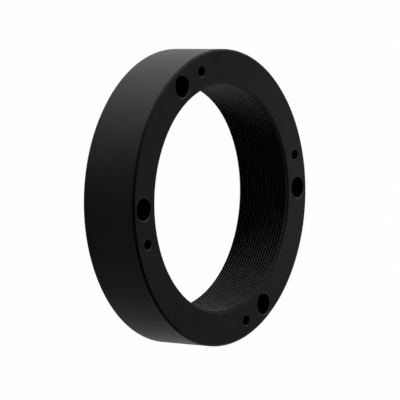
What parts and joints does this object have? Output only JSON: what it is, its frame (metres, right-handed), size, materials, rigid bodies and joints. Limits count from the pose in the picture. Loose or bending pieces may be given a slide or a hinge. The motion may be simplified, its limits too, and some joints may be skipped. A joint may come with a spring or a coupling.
{
  "type": "lens mount",
  "caption": "Round lens mount ring with a finely threaded through bore, and pairs of counterbored and tapped screw holes in its wall that fix it to a camera and set its tilt.",
  "frame": {"origin": "centre of the bore at the ring's back face, the face that meets the camera", "axes": "+Z along the bore towards the front face, where the lens screws in; +X midway between two of the pull screws"},
  "size_m": [0.093, 0.093, 0.0195],
  "materials": {
    "anodised_aluminium": "turned and anodised satin black"
  },
  "bodies": {
    "root": {"mount_ring": "anodised_aluminium"}
  },
  "joints": []
}
